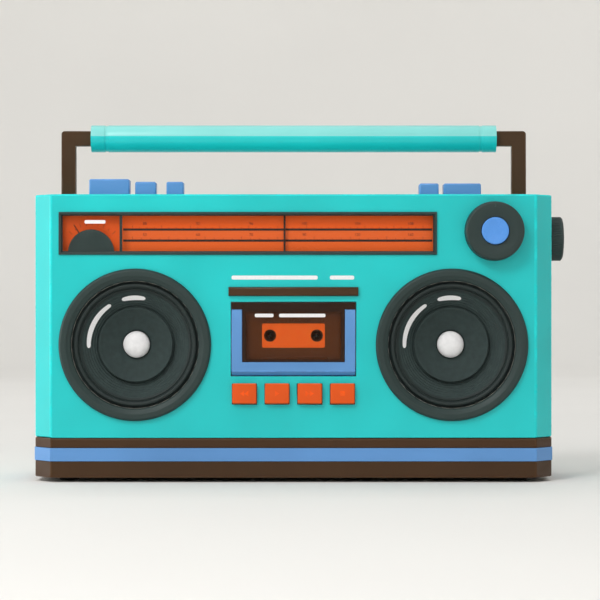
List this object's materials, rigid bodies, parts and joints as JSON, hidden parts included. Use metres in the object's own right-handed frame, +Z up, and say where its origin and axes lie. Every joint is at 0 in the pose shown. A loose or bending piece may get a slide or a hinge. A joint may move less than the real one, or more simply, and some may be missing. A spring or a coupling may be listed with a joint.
{
  "type": "portable radio cassette player",
  "caption": "Portable stereo radio cassette player with a folding carrying handle, front-loading tape deck, tuning dial, and a loudspeaker each side.",
  "frame": {"origin": "middle of the underside of the bounding box, on the surface that the feet stand on", "axes": "+X to the right seen from the front, +Y from the front to the back, +Z up"},
  "size_m": [0.4852, 0.1416, 0.3302],
  "materials": {
    "turquoise_plastic": "smooth satin gloss",
    "brown_plastic": "smooth, low sheen",
    "blue_plastic": "smooth satin gloss",
    "orange_plastic": "smooth satin gloss",
    "charcoal_plastic": "fine texture",
    "smoked_plastic": "polished, smoked",
    "clear_plastic": "polished clear sheet",
    "speaker_paper": "pressed paper pulp",
    "white_paper": "smooth, matt",
    "black_rubber": "matt",
    "green_board": "lacquered laminate",
    "steel": "zinc plated",
    "chrome": "polished plate"
  },
  "bodies": {
    "case": {"front_shell": "turquoise_plastic", "rear_shell": "turquoise_plastic", "base_moulding": "brown_plastic", "trim_strip": "blue_plastic", "foot_front_left": "black_rubber", "foot_front_right": "black_rubber", "foot_rear_left": "black_rubber", "foot_rear_right": "black_rubber", "handle_pin_left": "steel", "handle_pin_right": "steel", "dial_bezel": "charcoal_plastic", "dial_plate": "orange_plastic", "dial_window": "clear_plastic", "deck_hood": "brown_plastic", "deck_chassis": "steel", "drive_motor": "steel", "drive_belt": "black_rubber", "speaker_ring_left": "charcoal_plastic", "speaker_ring_right": "charcoal_plastic", "speaker_frame_left": "steel", "speaker_frame_right": "steel", "main_board": "green_board", "mains_transformer": "steel", "mains_inlet": "charcoal_plastic"},
    "handle": {"handle_grip": "turquoise_plastic", "handle_arm_left": "brown_plastic", "handle_arm_right": "brown_plastic"},
    "aerial_base": {"aerial_knuckle": "chrome", "aerial_tube_1": "chrome"},
    "aerial_middle": {"aerial_tube_2": "chrome"},
    "aerial_tip": {"aerial_tube_3": "chrome"},
    "pointer": {"dial_pointer": "brown_plastic"},
    "needle": {"meter_needle": "charcoal_plastic"},
    "tuning": {"tuning_knob": "charcoal_plastic"},
    "volume": {"volume_knob": "charcoal_plastic", "volume_cap": "blue_plastic"},
    "door": {"cassette_door": "blue_plastic", "door_window": "smoked_plastic", "cassette_shell": "smoked_plastic"},
    "hub_left": {"cassette_hub_left": "white_paper"},
    "hub_right": {"cassette_hub_right": "white_paper"},
    "supply": {"supply_spindle": "charcoal_plastic"},
    "takeup": {"takeup_spindle": "charcoal_plastic"},
    "capstan": {"capstan_flywheel": "steel"},
    "pulley": {"motor_pulley": "steel"},
    "bridge": {"head_bridge": "steel"},
    "cone_left": {"speaker_cone_left": "speaker_paper", "dust_cap_left": "white_paper"},
    "cone_right": {"speaker_cone_right": "speaker_paper", "dust_cap_right": "white_paper"},
    "battery_lid": {"battery_door": "turquoise_plastic"},
    "key_rewind": {"key_rewind": "orange_plastic"},
    "key_play": {"key_play": "orange_plastic"},
    "key_forward": {"key_forward": "orange_plastic"},
    "key_stop": {"key_stop": "orange_plastic"},
    "top_key_power": {"top_key_power": "blue_plastic"},
    "top_key_band": {"top_key_band": "blue_plastic"},
    "top_key_mode": {"top_key_mode": "blue_plastic"},
    "top_key_tone": {"top_key_tone": "blue_plastic"},
    "top_key_bass": {"top_key_bass": "blue_plastic"}
  },
  "joints": [
    {"name": "handle_fold", "type": "hinge", "parent": "case", "child": "handle", "pos_m": [-0.00595, 0.03665, 0.243], "axis": [-1, 0, 0], "range_deg": [0, 90]},
    {"name": "aerial_turn", "type": "hinge", "parent": "case", "child": "aerial_base", "pos_m": [0.21805, 0.06465, 0.214], "axis": [0, 1, 0], "range_deg": [0, 90]},
    {"name": "aerial_draw", "type": "slide", "parent": "aerial_base", "child": "aerial_middle", "axis": [-1, 0, 0], "range_m": [0, 0.185]},
    {"name": "aerial_tip_draw", "type": "slide", "parent": "aerial_middle", "child": "aerial_tip", "axis": [-1, 0, 0], "range_m": [0, 0.185]},
    {"name": "tuning_turn", "type": "hinge", "parent": "case", "child": "tuning", "pos_m": [0.23005, -0.00735, 0.2217], "axis": [1, 0, 0], "range_deg": [-1273, 1164]},
    {"name": "pointer_slide", "type": "slide", "parent": "case", "child": "pointer", "axis": [1, 0, 0], "range_m": [-0.14, 0.128]},
    {"name": "volume_turn", "type": "hinge", "parent": "case", "child": "volume", "pos_m": [0.17575, -0.05535, 0.2274], "axis": [0, 1, 0], "range_deg": [-150, 150]},
    {"name": "meter_swing", "type": "hinge", "parent": "case", "child": "needle", "pos_m": [-0.18925, -0.04875, 0.2082], "axis": [0, 1, 0], "range_deg": [-12, 78], "stiffness_Nm_per_rad": 0.0005},
    {"name": "door_open", "type": "hinge", "parent": "case", "child": "door", "pos_m": [-0.00595, -0.04935, 0.1012], "axis": [1, 0, 0], "range_deg": [0, 35]},
    {"name": "supply_spin", "type": "hinge", "parent": "case", "child": "supply", "pos_m": [-0.0272, -0.04785, 0.1328], "axis": [0, 1, 0], "continuous": true},
    {"name": "takeup_spin", "type": "hinge", "parent": "case", "child": "takeup", "pos_m": [0.0153, -0.04785, 0.1328], "axis": [0, 1, 0], "continuous": true},
    {"name": "hub_left_spin", "type": "hinge", "parent": "door", "child": "hub_left", "pos_m": [-0.0272, -0.05035, 0.1328], "axis": [0, 1, 0], "continuous": true},
    {"name": "hub_right_spin", "type": "hinge", "parent": "door", "child": "hub_right", "pos_m": [0.0153, -0.05035, 0.1328], "axis": [0, 1, 0], "continuous": true},
    {"name": "capstan_spin", "type": "hinge", "parent": "case", "child": "capstan", "pos_m": [0.01405, -0.03135, 0.104], "axis": [0, 1, 0], "continuous": true},
    {"name": "pulley_spin", "type": "hinge", "parent": "case", "child": "pulley", "pos_m": [-0.04095, -0.02785, 0.104], "axis": [0, 1, 0], "continuous": true},
    {"name": "bridge_lift", "type": "slide", "parent": "case", "child": "bridge", "axis": [0, 0, 1], "range_m": [0, 0.004]},
    {"name": "key_rewind_press", "type": "slide", "parent": "case", "child": "key_rewind", "axis": [0, 1, 0], "range_m": [0, 0.0045], "stiffness_N_per_m": 400, "springref_m": -0.002},
    {"name": "key_play_press", "type": "slide", "parent": "case", "child": "key_play", "axis": [0, 1, 0], "range_m": [0, 0.0045], "stiffness_N_per_m": 400, "springref_m": -0.002},
    {"name": "key_forward_press", "type": "slide", "parent": "case", "child": "key_forward", "axis": [0, 1, 0], "range_m": [0, 0.0045], "stiffness_N_per_m": 400, "springref_m": -0.002},
    {"name": "key_stop_press", "type": "slide", "parent": "case", "child": "key_stop", "axis": [0, 1, 0], "range_m": [0, 0.0045], "stiffness_N_per_m": 400, "springref_m": -0.002},
    {"name": "top_key_power_press", "type": "slide", "parent": "case", "child": "top_key_power", "axis": [0, 0, -1], "range_m": [0, 0.004], "stiffness_N_per_m": 400, "springref_m": -0.002},
    {"name": "top_key_band_press", "type": "slide", "parent": "case", "child": "top_key_band", "axis": [0, 0, -1], "range_m": [0, 0.004], "stiffness_N_per_m": 400, "springref_m": -0.002},
    {"name": "top_key_mode_press", "type": "slide", "parent": "case", "child": "top_key_mode", "axis": [0, 0, -1], "range_m": [0, 0.004], "stiffness_N_per_m": 400, "springref_m": -0.002},
    {"name": "top_key_tone_press", "type": "slide", "parent": "case", "child": "top_key_tone", "axis": [0, 0, -1], "range_m": [0, 0.004], "stiffness_N_per_m": 400, "springref_m": -0.002},
    {"name": "top_key_bass_press", "type": "slide", "parent": "case", "child": "top_key_bass", "axis": [0, 0, -1], "range_m": [0, 0.004], "stiffness_N_per_m": 400, "springref_m": -0.002},
    {"name": "cone_left_travel", "type": "slide", "parent": "case", "child": "cone_left", "axis": [0, -1, 0], "range_m": [-0.0025, 0.0025], "stiffness_N_per_m": 1500},
    {"name": "cone_right_travel", "type": "slide", "parent": "case", "child": "cone_right", "axis": [0, -1, 0], "range_m": [-0.0025, 0.0025], "stiffness_N_per_m": 1500},
    {"name": "battery_door_open", "type": "hinge", "parent": "case", "child": "battery_lid", "pos_m": [-0.00595, 0.0684, 0.0525], "axis": [-1, 0, 0], "range_deg": [0, 100]}
  ],
  "couplings": [
    {"joint": "aerial_tip_draw", "follows": "aerial_draw", "ratio": 1},
    {"joint": "pointer_slide", "follows": "tuning_turn", "m_per_rad": 0.0063},
    {"joint": "hub_left_spin", "follows": "supply_spin", "ratio": 1},
    {"joint": "hub_right_spin", "follows": "takeup_spin", "ratio": 1},
    {"joint": "pulley_spin", "follows": "capstan_spin", "ratio": 4.6},
    {"joint": "bridge_lift", "follows": "key_play_press", "ratio": 0.88889}
  ]
}
